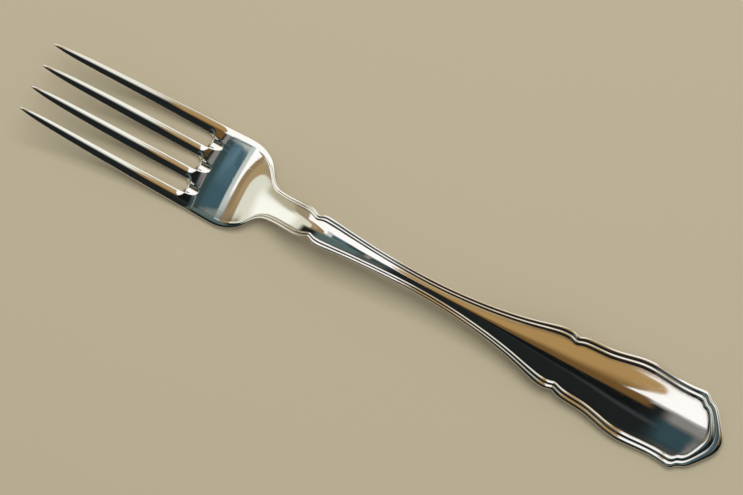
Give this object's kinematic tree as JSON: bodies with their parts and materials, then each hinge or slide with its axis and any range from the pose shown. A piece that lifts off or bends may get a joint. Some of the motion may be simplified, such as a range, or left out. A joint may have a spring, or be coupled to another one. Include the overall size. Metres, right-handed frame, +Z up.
{
  "type": "dinner fork",
  "caption": "Four-tined table fork with rounded shoulders, an arched neck and a flared, notched handle edged with a double thread.",
  "frame": {"origin": "centre of the fork's bounding box, on the surface that the fork rests on", "axes": "+X across the fork, +Y along it towards the tine tips, +Z up from the table, on the side that the tines curve towards"},
  "size_m": [0.0238, 0.1958, 0.0149],
  "materials": {
    "silver": "polished silver plate with fine wear scratches"
  },
  "bodies": {
    "root": {"tine_outer_left": "silver", "tine_inner_left": "silver", "tine_inner_right": "silver", "tine_outer_right": "silver", "head": "silver", "neck": "silver", "stem": "silver", "handle_end": "silver"}
  },
  "joints": []
}
